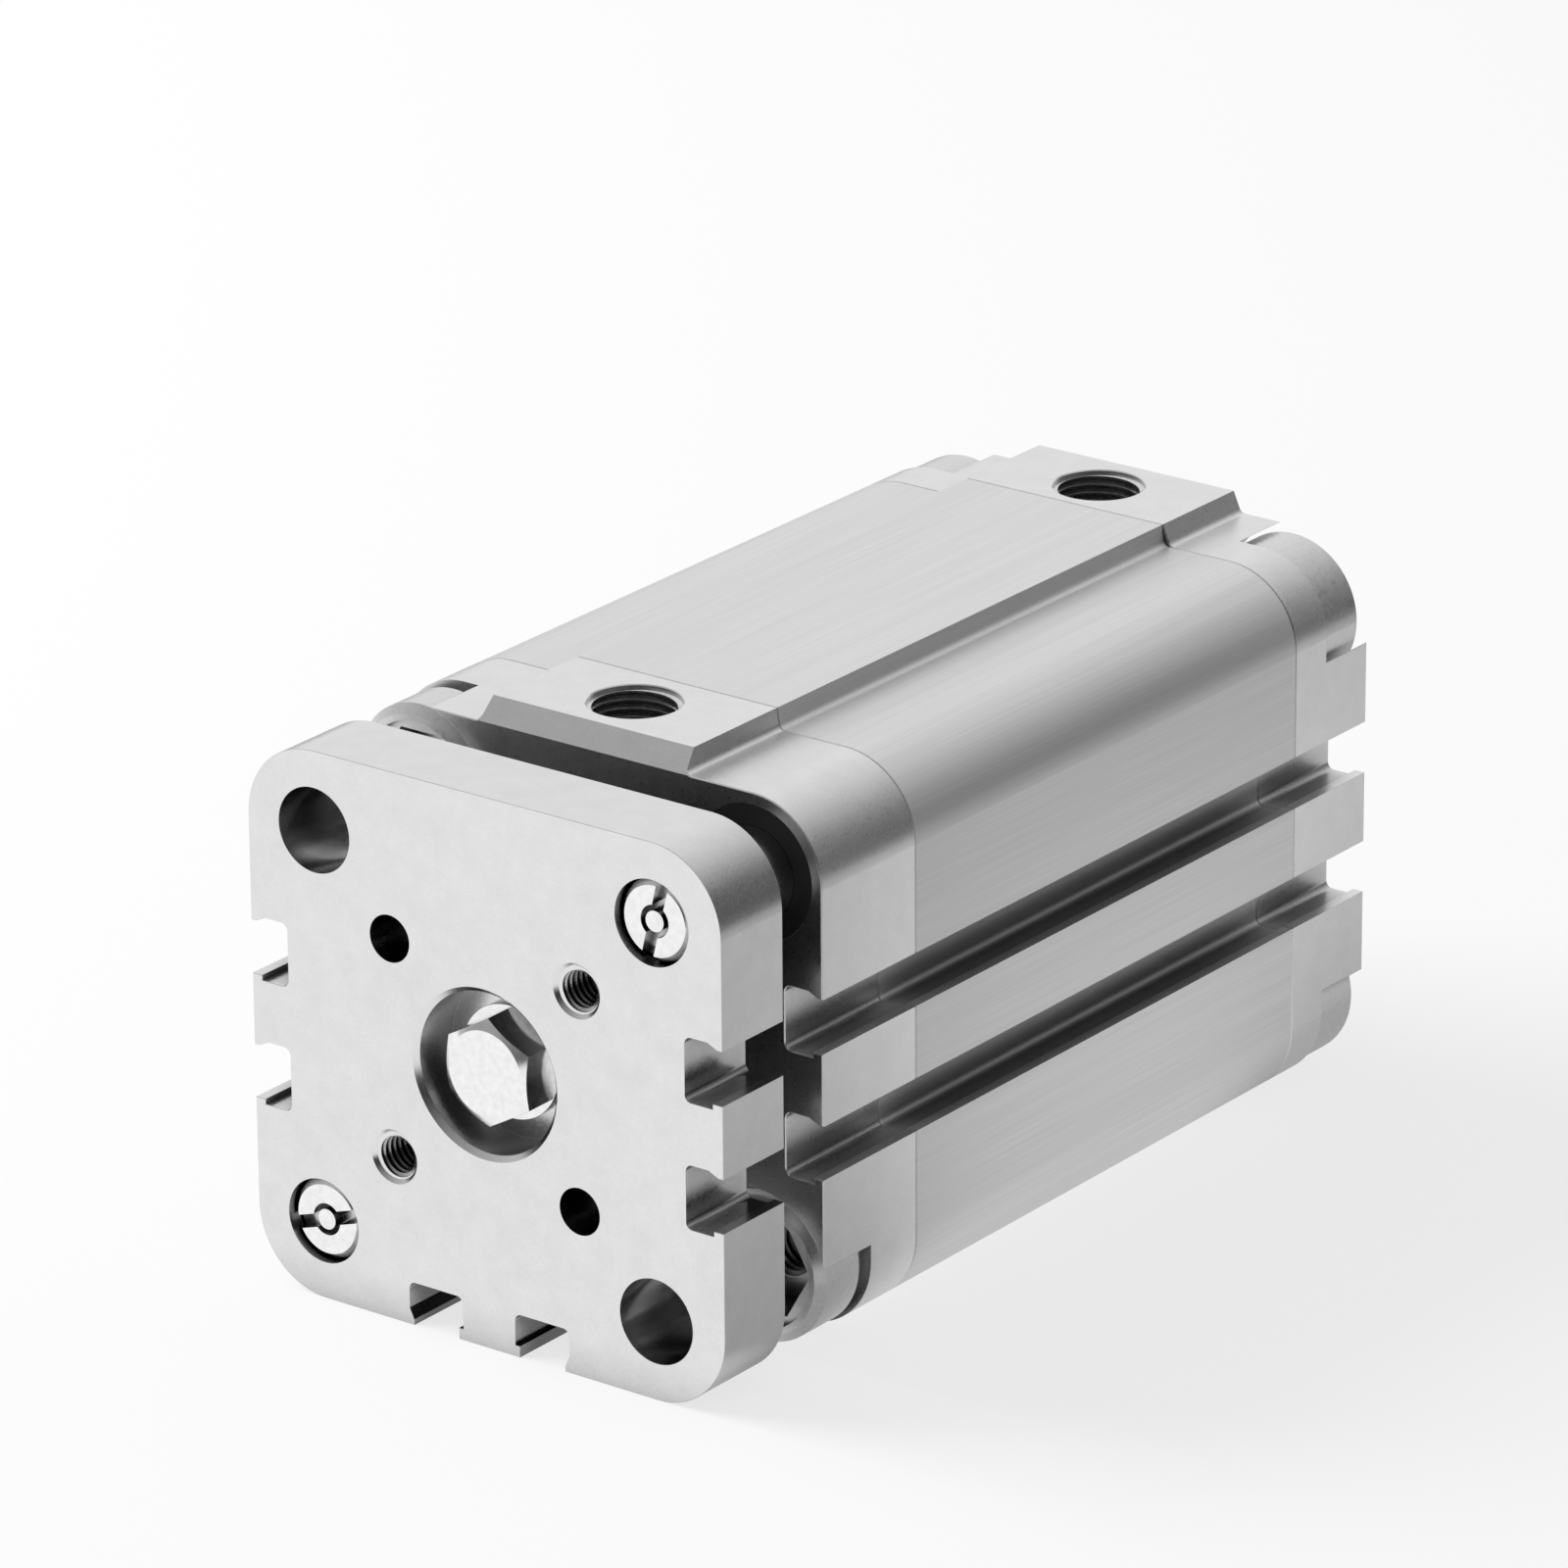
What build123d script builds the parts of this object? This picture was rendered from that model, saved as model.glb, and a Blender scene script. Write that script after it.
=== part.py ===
from build123d import *

import os

# Guided compact cylinder, drawn retracted. Millimetres, +Z up.
# The cylinder's axis is the Y axis, its rod side faces -Y, and y = 0 is the rear cap's mounting face.

# Section shared by the yoke plate, both caps and the barrel
corner_pitch = 42.0
corner_radius = 8.4
pad_width = 25.0
pad_height = 2.25
pad_bevel_run = 1.9
pad_flare = 0.35
rear_pad_flare = 1.0
pad_foot_radius = 0.8
slot_pitch = 13.4
slot_mouth = 5.7
slot_width = 6.8
slot_depth = 4.6
slot_floor_radius = 0.8
lip_thickness = 1.2
lip_bevel_edge = 0.6
lip_bevel_length = 1.2
edge_break = 0.12
plate_edge_break = 0.04
cut_overrun = 1.0

# Lengths along the axis
stroke = 50.0
plate_gap = 6.4
plate_thickness = 9.8
bearing_cap_length = 15.4
rear_cap_length = 13.2
spigot_length = 2.4
piston_length = 11.4

# Clearances, each on the radius
running_clearance = 0.03
seat_clearance = 0.02
spigot_clearance = 0.05
collar_hole_clearance = 0.25
guide_channel_clearance = 0.3
piston_land_clearance = 0.3
yoke_bolt_clearance = 0.3

# Bore, cap O-rings and cushion rings
bore_diameter = 40.0
cap_oring_section = 1.5
oring_side_room = 0.05
cushion_inner_radius = 10.0
cushion_outer_radius = 13.5
cushion_thickness = 1.8
cushion_stand_out = 0.2

# Air ports. Threads are drawn as plain holes at their major diameter.
port_thread_diameter = 9.73
port_depth = 8.5
port_chamfer = 0.12
front_port_setback = 8.6
rear_port_setback = 6.9
port_neck_radius = 2.0
port_channel_radius = 1.6
port_channel_wall = 2.4

# Collar screws that hold the caps, tapped through for mounting
collar_head_radius = 8.1
front_collar_head_length = 6.2
rear_collar_head_length = 6.95
collar_chamfer = 0.9
collar_mouth_radius = 6.5
collar_mouth_depth = 1.2
collar_socket_width = 10.0
collar_socket_floor = 1.0
collar_thread_diameter = 10.0
collar_engagement = 12.0
collar_shoulder_radius = 7.2
collar_shoulder_length = 1.6
collar_setback = 0.65
mounting_thread_diameter = 6.0
front_counterbore_radius = 8.6
rear_counterbore_radius = 8.8

# Centring recess in the rear cap
centring_diameter = 12.0
centring_depth = 2.1

# Piston rod, its bush, its seal and its stud
rod_diameter = 12.0
rod_bush_wall = 2.0
rod_seal_depth = 3.4
rod_seal_wall = 3.5
rod_locating_depth = 1.6
stud_diameter = 8.0
stud_end_length = 0.6
nut_width = 13.0
nut_height = 4.2
nut_room = 0.8

# Piston
piston_hub_radius = 14.0
piston_lip = 0.8
seal_groove_width = 2.8
seal_groove_depth = 3.2
seal_side_room = 0.1
piston_land = 0.6
wear_ring_wall = 1.9
stud_oring_section = 1.0

# Guide rods, their bushes, wipers and screws
guide_rod_diameter = 10.0
guide_rod_seat_depth = 3.0
guide_rod_end_gap = 3.0
guide_rod_chamfer = 0.6
guide_bush_wall = 1.5
guide_wiper_depth = 2.6
guide_wiper_wall = 2.2
guide_thread_diameter = 5.0
guide_thread_depth = 12.0
guide_screw_length = 10.0
guide_screw_head_radius = 4.3
guide_screw_chamfer = 0.6
guide_screw_recess_radius = 4.5
guide_screw_head_height = 4.05
guide_screw_setback = 0.5
driver_slot_width = 1.4
driver_slot_depth = 1.3
driver_recess_radius = 1.7
driver_pip_radius = 1.1
upper_driver_angle = 76.0
lower_driver_angle = 18.0

# Yoke plate
yoke_recess_radius = 8.55
yoke_recess_depth = 5.7
yoke_recess_chamfer = 0.55
yoke_bolt_diameter = 6.0
yoke_bolt_length = 16.0
yoke_thread_depth = 18.0
yoke_head_width = 10.0
yoke_head_height = 4.0
yoke_head_bevel_run = 1.2
yoke_head_bevel_depth = 0.6
yoke_washer_radius = 6.0
yoke_washer_hole_radius = 3.2
yoke_washer_thickness = 1.6
access_hole_diameter = 9.0
tool_hole_circle = 33.0
tool_thread_diameter = 5.0
dowel_hole_diameter = 5.0
hole_chamfer = 0.4

# Places worked out from the sizes above
half_width = corner_pitch / 2 + corner_radius
pad_top = half_width + pad_height
bore_radius = bore_diameter / 2
rod_radius = rod_diameter / 2
guide_radius = guide_rod_diameter / 2
barrel_length = stroke + piston_length + 2 * (spigot_length + cushion_stand_out)
body_rear = 0.0
barrel_rear = body_rear - rear_cap_length
barrel_front = barrel_rear - barrel_length
body_front = barrel_front - bearing_cap_length
front_spigot_end = barrel_front + spigot_length
rear_spigot_end = barrel_rear - spigot_length
piston_rear_face = rear_spigot_end - cushion_stand_out
piston_front_face = piston_rear_face - piston_length
plate_back = body_front - plate_gap
plate_front = plate_back - plate_thickness
yoke_recess_floor = plate_front + yoke_recess_depth
yoke_bolt_seat = yoke_recess_floor - yoke_washer_thickness
guide_screw_seat = plate_front + guide_screw_setback + guide_screw_head_height
guide_rod_seat = plate_back - guide_rod_seat_depth
collar_front_floor = body_front + front_collar_head_length + collar_shoulder_length
collar_rear_floor = body_rear - collar_setback - rear_collar_head_length
rear_collar_tip = barrel_rear - collar_engagement
collar_hole_radius = collar_thread_diameter / 2 + collar_hole_clearance
front_port_y = body_front + front_port_setback
rear_port_y = body_rear - rear_port_setback
channel_height = bore_radius - port_channel_wall - port_channel_radius
rod_seal_back = body_front + rod_seal_depth
wiper_back = body_front + guide_wiper_depth
nut_recess_radius = nut_width / 3**0.5 + nut_room
nut_recess_floor = piston_rear_face + nut_height + stud_end_length + nut_room
tool_hole_offset = tool_hole_circle / 2 * 2**-0.5

upper_right = (corner_pitch / 2, corner_pitch / 2)
lower_left = (-corner_pitch / 2, -corner_pitch / 2)
upper_left = (-corner_pitch / 2, corner_pitch / 2)
lower_right = (corner_pitch / 2, -corner_pitch / 2)
guide_corners = {"upper": upper_right, "lower": lower_left}
driver_angles = {"upper": upper_driver_angle, "lower": lower_driver_angle}
screw_corners = [upper_left, lower_right]
all_corners = [*guide_corners.values(), *screw_corners]
tapped_holes = [(tool_hole_offset, tool_hole_offset), (-tool_hole_offset, -tool_hole_offset)]
dowel_holes = [(-tool_hole_offset, tool_hole_offset), (tool_hole_offset, -tool_hole_offset)]


def station(y):
    """Plane across the cylinder at y, seen from the rod side with X to the right and Z up."""
    return Plane.XZ.offset(-y)


def bar(centres, radius, y_from, y_to, mode=Mode.ADD):
    """Round bars along Y in the part being built, or round holes when mode subtracts."""
    with BuildSketch(station(y_from)) as ends:
        with Locations(*centres):
            Circle(radius)
    extrude(ends.sketch, amount=y_from - y_to, mode=mode)


def turned(corners, centre=(0, 0), mode=Mode.ADD):
    """Body turned about the line along Y through centre, from its (radius, y) corners."""
    x, z = centre
    with BuildSketch(Plane(origin=(x, 0, z), x_dir=(1, 0, 0), z_dir=(0, 0, 1))) as half_section:
        with BuildLine():
            Polyline(*corners, close=True)
        make_face()
    revolve(half_section.sketch, axis=Axis((x, 0, z), (0, 1, 0)), mode=mode)


def tube(outer_radius, inner_radius, y_from, y_to, centre=(0, 0), mode=Mode.ADD):
    """Plain tube along Y, or a ring groove when mode subtracts."""
    corners = [(inner_radius, y_from), (outer_radius, y_from), (outer_radius, y_to), (inner_radius, y_to)]
    turned(corners, centre, mode)


def oring(ring_radius, section_diameter, y):
    """Rubber ring about the cylinder axis, centred at y."""
    with BuildSketch(Plane.XY) as round_section:
        with Locations((ring_radius, y)):
            Circle(section_diameter / 2)
    revolve(round_section.sketch, axis=Axis.Y)


def lip_seal(working_radius, heel_radius, y_lips, y_back):
    """Seal about the cylinder axis with two lips facing y_lips. The working lip touches the moving face."""
    wall = heel_radius - working_radius
    width = y_back - y_lips
    turned(
        [
            (working_radius, y_lips),
            (working_radius, y_lips + 0.2 * width),
            (working_radius + 0.2 * wall, y_lips + 0.6 * width),
            (working_radius + 0.2 * wall, y_back),
            (heel_radius, y_back),
            (heel_radius, y_lips),
            (heel_radius - 0.25 * wall, y_lips),
            (working_radius + 0.5 * wall, y_lips + 0.5 * width),
            (working_radius + 0.2 * wall, y_lips),
        ]
    )


def section(flare):
    """Outline across the body: a rounded square, the port pad on top, and two T-slots on each other side.
    The pad's foot is wider than its top by flare on each side. Without a flare there is no pad."""
    beyond_surface = half_width + cut_overrun
    lip_edge = half_width - lip_bevel_edge
    slot_floor = half_width - slot_depth
    with BuildSketch() as slot:
        with BuildLine():
            Polyline(
                (slot_floor, -slot_width / 2),
                (half_width - lip_thickness, -slot_width / 2),
                (half_width - lip_thickness, -slot_mouth / 2),
                (beyond_surface, -slot_mouth / 2),
                (beyond_surface, slot_mouth / 2),
                (lip_edge, slot_mouth / 2),
                (lip_edge - lip_bevel_length, slot_width / 2),
                (slot_floor, slot_width / 2),
                close=True,
            )
        make_face()
        fillet(slot.vertices().group_by(Axis.X)[0], slot_floor_radius)
    with BuildSketch() as slots:
        with Locations((0, slot_pitch / 2), (0, -slot_pitch / 2)):
            add(slot.sketch)
        with Locations(Location((slot_pitch / 2, 0, 0), (0, 0, -90))):
            add(slot.sketch)
        mirror(about=Plane.YZ)
    with BuildSketch() as outline:
        RectangleRounded(2 * half_width, 2 * half_width, corner_radius)
        if flare:
            pad_foot = pad_width / 2 + flare
            with BuildLine():
                Polyline(
                    (-pad_foot, 0),
                    (pad_foot, 0),
                    (pad_foot, half_width),
                    (pad_width / 2, pad_top),
                    (-pad_width / 2, pad_top),
                    (-pad_foot, half_width),
                    close=True,
                )
            make_face()
            feet = outline.vertices().filter_by(lambda corner: abs(abs(corner.X) - pad_foot) < 1e-3)
            fillet(feet.filter_by(lambda corner: corner.Y > 0), pad_foot_radius)
        add(slots.sketch, mode=Mode.SUBTRACT)
    return outline.sketch


def body_block(y_from, y_to, flare, broken=edge_break):
    """Length of the body section with its end edges broken."""
    with BuildSketch(station(y_from)) as end:
        add(section(flare))
    extrude(end.sketch, amount=y_from - y_to)
    ends = faces().sort_by(Axis.Y)
    chamfer(ends[0].outer_wire().edges() + ends[-1].outer_wire().edges(), broken)


def front_circles(radius):
    """Round edges of the given radius in the front face of the part being built."""
    circles = edges().filter_by(GeomType.CIRCLE).group_by(Axis.Y)[0]
    return circles.filter_by(lambda edge: abs(edge.radius - radius) < 1e-3)


def spigot(cap_face, spigot_end):
    """Cap spigot that centres in the bore, with the O-ring groove at its root."""
    into_bore = 1 if spigot_end > cap_face else -1
    groove_end = cap_face + into_bore * (cap_oring_section + 2 * oring_side_room)
    groove_radius = bore_radius - cap_oring_section - oring_side_room
    bar([(0, 0)], groove_radius, cap_face, groove_end)
    bar([(0, 0)], bore_radius - spigot_clearance, groove_end, spigot_end)


def cap_oring(cap_face, into_bore):
    """O-ring in a cap's spigot groove."""
    ring_radius = bore_radius - seat_clearance - cap_oring_section / 2
    oring(ring_radius, cap_oring_section, cap_face + into_bore * (cap_oring_section / 2 + oring_side_room))


def cushion_groove(spigot_end, into_cap):
    """Ring groove for the cushion in the end of a cap's spigot."""
    groove_floor = spigot_end + into_cap * (cushion_thickness - cushion_stand_out)
    outer_radius = cushion_outer_radius + seat_clearance
    tube(outer_radius, cushion_inner_radius - seat_clearance, spigot_end, groove_floor, mode=Mode.SUBTRACT)


def cushion_ring(spigot_end, into_cap):
    """Cushion ring that the piston meets at the end of its stroke."""
    groove_floor = spigot_end + into_cap * (cushion_thickness - cushion_stand_out)
    tube(cushion_outer_radius, cushion_inner_radius, spigot_end - into_cap * cushion_stand_out, groove_floor)


def air_passage(port_y, spigot_end):
    """Threaded port in the pad, with its neck and the channel that opens at the spigot's end."""
    thread_bottom = pad_top - port_depth
    with BuildSketch(Plane.XY.offset(channel_height)) as neck:
        with Locations((0, port_y)):
            Circle(port_neck_radius)
    extrude(neck.sketch, amount=thread_bottom - channel_height, mode=Mode.SUBTRACT)
    with BuildSketch(Plane.XY.offset(thread_bottom)) as thread:
        with Locations((0, port_y)):
            Circle(port_thread_diameter / 2)
    extrude(thread.sketch, amount=port_depth, mode=Mode.SUBTRACT)
    mouth = edges().filter_by(GeomType.CIRCLE).group_by(Axis.Z)[-1]
    chamfer(mouth, port_chamfer)
    bar([(0, channel_height)], port_channel_radius, port_y, spigot_end, mode=Mode.SUBTRACT)


def collar_screw(centre, head_face, tip, head_length, shoulder_length=0.0):
    """Collar screw along Y with a hexagon socket, tapped through for a mounting screw."""
    into = 1 if tip > head_face else -1
    head_back = head_face + into * head_length
    turned(
        [
            (0, head_face),
            (collar_head_radius - collar_chamfer, head_face),
            (collar_head_radius, head_face + into * collar_chamfer),
            (collar_head_radius, head_back),
            (0, head_back),
        ],
        centre,
    )
    if shoulder_length:
        bar([centre], collar_shoulder_radius, head_back, head_back + into * shoulder_length)
    bar([centre], collar_thread_diameter / 2, head_back, tip)
    mouth_floor = head_face + into * collar_mouth_depth
    bar([centre], collar_mouth_radius, head_face, mouth_floor, mode=Mode.SUBTRACT)
    with BuildSketch(station(head_face)) as socket:
        with Locations(centre):
            RegularPolygon(collar_socket_width / 2, 6, major_radius=False)
    extrude(socket.sketch, amount=-into * (head_length - collar_socket_floor), mode=Mode.SUBTRACT)
    bar([centre], mounting_thread_diameter / 2, head_face, tip, mode=Mode.SUBTRACT)


def guide_screw(centre, slot_angle):
    """Slotted screw that holds a guide rod to the yoke plate."""
    head_face = plate_front + guide_screw_setback
    head_back = head_face + guide_screw_head_height
    recess_floor = head_face + driver_slot_depth
    turned(
        [
            (0, head_face),
            (guide_screw_head_radius - guide_screw_chamfer, head_face),
            (guide_screw_head_radius, head_face + guide_screw_chamfer),
            (guide_screw_head_radius, head_back),
            (0, head_back),
        ],
        centre,
    )
    bar([centre], guide_thread_diameter / 2, head_back, head_back + guide_screw_length)
    with BuildSketch(station(head_face)) as slot:
        with Locations(centre):
            Rectangle(3 * guide_screw_head_radius, driver_slot_width, rotation=slot_angle)
            Circle(driver_recess_radius)
    extrude(slot.sketch, amount=-driver_slot_depth, mode=Mode.SUBTRACT)
    bar([centre], driver_pip_radius, head_face, recess_floor)


with BuildPart() as barrel:
    body_block(barrel_front, barrel_rear, pad_flare)
    bar([(0, 0)], bore_radius, barrel_front, barrel_rear, mode=Mode.SUBTRACT)
    thread_radius = collar_thread_diameter / 2 + seat_clearance
    bar(all_corners, thread_radius, barrel_front, barrel_rear, mode=Mode.SUBTRACT)
    channel_radius = guide_radius + guide_channel_clearance
    bar(guide_corners.values(), channel_radius, barrel_front, rear_collar_tip, mode=Mode.SUBTRACT)
barrel.part.label = "barrel"

with BuildPart() as bearing_cap:
    body_block(body_front, barrel_front, pad_flare)
    spigot(barrel_front, front_spigot_end)
    # Bevel at the front of the pad
    with BuildSketch(Plane.YZ) as pad_bevel:
        with BuildLine():
            Polyline(
                (body_front, half_width),
                (body_front + 2 * pad_bevel_run, half_width + 2 * pad_height),
                (body_front - pad_bevel_run, half_width + 2 * pad_height),
                (body_front - pad_bevel_run, half_width),
                close=True,
            )
        make_face()
    extrude(amount=pad_width, both=True, mode=Mode.SUBTRACT)
    # Seats of the collar screws
    bar(screw_corners, front_counterbore_radius, body_front, collar_front_floor, mode=Mode.SUBTRACT)
    bar(screw_corners, collar_hole_radius, body_front, barrel_front, mode=Mode.SUBTRACT)
    # Seats of the guide rod wipers and bushes
    wiper_seat = guide_radius + guide_wiper_wall + seat_clearance
    bar(guide_corners.values(), wiper_seat, body_front, wiper_back, mode=Mode.SUBTRACT)
    guide_bush_seat = guide_radius + guide_bush_wall + seat_clearance
    bar(guide_corners.values(), guide_bush_seat, body_front, barrel_front, mode=Mode.SUBTRACT)
    # Seats of the piston rod seal, its bush and the cushion ring
    rod_seal_seat = rod_radius + rod_seal_wall + seat_clearance
    bar([(0, 0)], rod_seal_seat, body_front, rod_seal_back, mode=Mode.SUBTRACT)
    rod_bush_seat = rod_radius + rod_bush_wall + seat_clearance
    bar([(0, 0)], rod_bush_seat, body_front, front_spigot_end, mode=Mode.SUBTRACT)
    cushion_groove(front_spigot_end, -1)
    air_passage(front_port_y, front_spigot_end)
bearing_cap.part.label = "bearing_cap"

with BuildPart() as rear_cap:
    body_block(barrel_rear, body_rear, rear_pad_flare)
    spigot(barrel_rear, rear_spigot_end)
    bar(all_corners, rear_counterbore_radius, body_rear, collar_rear_floor, mode=Mode.SUBTRACT)
    bar(all_corners, collar_hole_radius, body_rear, barrel_rear, mode=Mode.SUBTRACT)
    bar([(0, 0)], centring_diameter / 2, body_rear, body_rear - centring_depth, mode=Mode.SUBTRACT)
    bar([(0, 0)], nut_recess_radius, rear_spigot_end, nut_recess_floor, mode=Mode.SUBTRACT)
    cushion_groove(rear_spigot_end, 1)
    air_passage(rear_port_y, rear_spigot_end)
rear_cap.part.label = "rear_cap"

with BuildPart() as front_collar_screws:
    for corner in screw_corners:
        tip = barrel_front + collar_engagement
        collar_screw(corner, body_front, tip, front_collar_head_length, collar_shoulder_length)
front_collar_screws.part.label = "front_collar_screws"

with BuildPart() as rear_collar_screws:
    for corner in all_corners:
        head_face = body_rear - collar_setback
        collar_screw(corner, head_face, rear_collar_tip, rear_collar_head_length)
rear_collar_screws.part.label = "rear_collar_screws"

with BuildPart() as front_cap_oring:
    cap_oring(barrel_front, 1)
front_cap_oring.part.label = "front_cap_oring"

with BuildPart() as rear_cap_oring:
    cap_oring(barrel_rear, -1)
rear_cap_oring.part.label = "rear_cap_oring"

with BuildPart() as front_cushion_ring:
    cushion_ring(front_spigot_end, -1)
front_cushion_ring.part.label = "front_cushion_ring"

with BuildPart() as rear_cushion_ring:
    cushion_ring(rear_spigot_end, 1)
rear_cushion_ring.part.label = "rear_cushion_ring"

with BuildPart() as rod_bush:
    tube(rod_radius + rod_bush_wall, rod_radius + running_clearance, rod_seal_back, front_spigot_end)
rod_bush.part.label = "rod_bush"

with BuildPart() as rod_seal:
    lip_seal(rod_radius + running_clearance, rod_radius + rod_seal_wall, body_front, rod_seal_back)
rod_seal.part.label = "rod_seal"

guide_fittings = []
for place, corner in guide_corners.items():
    with BuildPart() as guide_bush:
        bush_outer_radius = guide_radius + guide_bush_wall
        tube(bush_outer_radius, guide_radius + running_clearance, wiper_back, barrel_front, corner)
    guide_bush.part.label = f"guide_bush_{place}"
    with BuildPart() as guide_wiper:
        wiper_outer_radius = guide_radius + guide_wiper_wall
        tube(wiper_outer_radius, guide_radius + running_clearance, body_front, wiper_back, corner)
    guide_wiper.part.label = f"guide_wiper_{place}"
    guide_fittings += [guide_bush, guide_wiper]

with BuildPart() as yoke_plate:
    body_block(plate_front, plate_back, 0.0, plate_edge_break)
    # Piston rod: locating recess behind, bolt hole and bolt head recess in front
    rod_locating_radius = rod_radius + seat_clearance
    bar([(0, 0)], rod_locating_radius, plate_back - rod_locating_depth, plate_back, mode=Mode.SUBTRACT)
    bar([(0, 0)], yoke_bolt_diameter / 2 + yoke_bolt_clearance, plate_front, plate_back, mode=Mode.SUBTRACT)
    bar([(0, 0)], yoke_recess_radius, plate_front, yoke_recess_floor, mode=Mode.SUBTRACT)
    # Guide rods: seats behind, screw holes and screw head recesses in front
    guide_seat_radius = guide_radius + seat_clearance
    bar(guide_corners.values(), guide_seat_radius, guide_rod_seat, plate_back, mode=Mode.SUBTRACT)
    guide_screw_hole_radius = guide_thread_diameter / 2 + seat_clearance
    bar(guide_corners.values(), guide_screw_hole_radius, plate_front, plate_back, mode=Mode.SUBTRACT)
    bar(guide_corners.values(), guide_screw_recess_radius, plate_front, guide_screw_seat, mode=Mode.SUBTRACT)
    # Tool side: access to the collar screws, two tapped holes and two dowel holes
    bar(screw_corners, access_hole_diameter / 2, plate_front, plate_back, mode=Mode.SUBTRACT)
    bar(tapped_holes, tool_thread_diameter / 2, plate_front, plate_back, mode=Mode.SUBTRACT)
    # The dowel holes come after the chamfers, because only the tapped holes have them
    chamfer(front_circles(yoke_recess_radius), yoke_recess_chamfer)
    chamfer(front_circles(tool_thread_diameter / 2), hole_chamfer)
    bar(dowel_holes, dowel_hole_diameter / 2, plate_front, plate_back, mode=Mode.SUBTRACT)
yoke_plate.part.label = "yoke_plate"

with BuildPart() as yoke_bolt:
    head_face = yoke_bolt_seat - yoke_head_height
    with BuildSketch(station(head_face)):
        RegularPolygon(yoke_head_width / 2, 6, major_radius=False, rotation=30)
    extrude(amount=-yoke_head_height)
    # Corners of the hexagon turned down at the face
    head_corner = yoke_head_width / 3**0.5
    turned(
        [
            (0, head_face),
            (head_corner - yoke_head_bevel_run, head_face),
            (head_corner, head_face + yoke_head_bevel_depth),
            (head_corner, yoke_bolt_seat),
            (0, yoke_bolt_seat),
        ],
        mode=Mode.INTERSECT,
    )
    bar([(0, 0)], yoke_bolt_diameter / 2, yoke_bolt_seat, yoke_bolt_seat + yoke_bolt_length)
yoke_bolt.part.label = "yoke_bolt"

with BuildPart() as yoke_washer:
    tube(yoke_washer_radius, yoke_washer_hole_radius, yoke_bolt_seat, yoke_recess_floor)
yoke_washer.part.label = "yoke_washer"

with BuildPart() as piston_rod:
    rod_front = plate_back - rod_locating_depth
    bar([(0, 0)], rod_radius, rod_front, piston_front_face)
    stud_end = piston_rear_face + nut_height + stud_end_length
    bar([(0, 0)], stud_diameter / 2, piston_front_face, stud_end)
    rod_thread_radius = yoke_bolt_diameter / 2 + seat_clearance
    bar([(0, 0)], rod_thread_radius, rod_front, rod_front + yoke_thread_depth, mode=Mode.SUBTRACT)
piston_rod.part.label = "piston_rod"

with BuildPart() as piston_nut:
    with BuildSketch(station(piston_rear_face)):
        RegularPolygon(nut_width / 2, 6, major_radius=False)
        Circle(stud_diameter / 2 + seat_clearance, mode=Mode.SUBTRACT)
    extrude(amount=-nut_height)
piston_nut.part.label = "piston_nut"

# The piston's front half carries the magnet and the wear ring, which its rear half closes in
land_radius = bore_radius - piston_land_clearance
past_land = land_radius + cut_overrun
seal_groove_floor = land_radius - seal_groove_depth
front_groove_start = piston_front_face + piston_lip
front_groove_end = front_groove_start + seal_groove_width
rear_groove_end = piston_rear_face - piston_lip
rear_groove_start = rear_groove_end - seal_groove_width
magnet_front = front_groove_end + piston_land
magnet_rear = rear_groove_start - piston_land
magnet_outer_radius = bore_radius - running_clearance - wear_ring_wall
stud_hole_radius = stud_diameter / 2 + seat_clearance

with BuildPart() as piston_front:
    tube(land_radius, stud_hole_radius, piston_front_face, magnet_front)
    tube(piston_hub_radius, stud_hole_radius, magnet_front, magnet_rear)
    tube(past_land, seal_groove_floor, front_groove_start, front_groove_end, mode=Mode.SUBTRACT)
    stud_oring_seat = stud_hole_radius + stud_oring_section + seat_clearance
    seat_depth = stud_oring_section + oring_side_room
    bar([(0, 0)], stud_oring_seat, piston_front_face, piston_front_face + seat_depth, mode=Mode.SUBTRACT)
piston_front.part.label = "piston_front"

with BuildPart() as piston_rear:
    tube(land_radius, stud_hole_radius, magnet_rear, piston_rear_face)
    tube(past_land, seal_groove_floor, rear_groove_start, rear_groove_end, mode=Mode.SUBTRACT)
piston_rear.part.label = "piston_rear"

with BuildPart() as piston_magnet:
    ring_front = magnet_front + seat_clearance
    ring_rear = magnet_rear - seat_clearance
    tube(magnet_outer_radius, piston_hub_radius + seat_clearance, ring_front, ring_rear)
piston_magnet.part.label = "piston_magnet"

with BuildPart() as piston_wear_ring:
    ring_inner_radius = magnet_outer_radius + seat_clearance
    tube(bore_radius - running_clearance, ring_inner_radius, ring_front, ring_rear)
piston_wear_ring.part.label = "piston_wear_ring"

with BuildPart() as piston_seal_front:
    seal_heel = seal_groove_floor + seat_clearance
    lips_at = front_groove_start + seal_side_room
    lip_seal(bore_radius - running_clearance, seal_heel, lips_at, front_groove_end)
piston_seal_front.part.label = "piston_seal_front"

with BuildPart() as piston_seal_rear:
    lips_at = rear_groove_end - seal_side_room
    lip_seal(bore_radius - running_clearance, seal_heel, lips_at, rear_groove_start)
piston_seal_rear.part.label = "piston_seal_rear"

with BuildPart() as stud_oring:
    ring_radius = stud_hole_radius + stud_oring_section / 2
    oring(ring_radius, stud_oring_section, piston_front_face + stud_oring_section / 2 + oring_side_room / 2)
stud_oring.part.label = "stud_oring"

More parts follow.
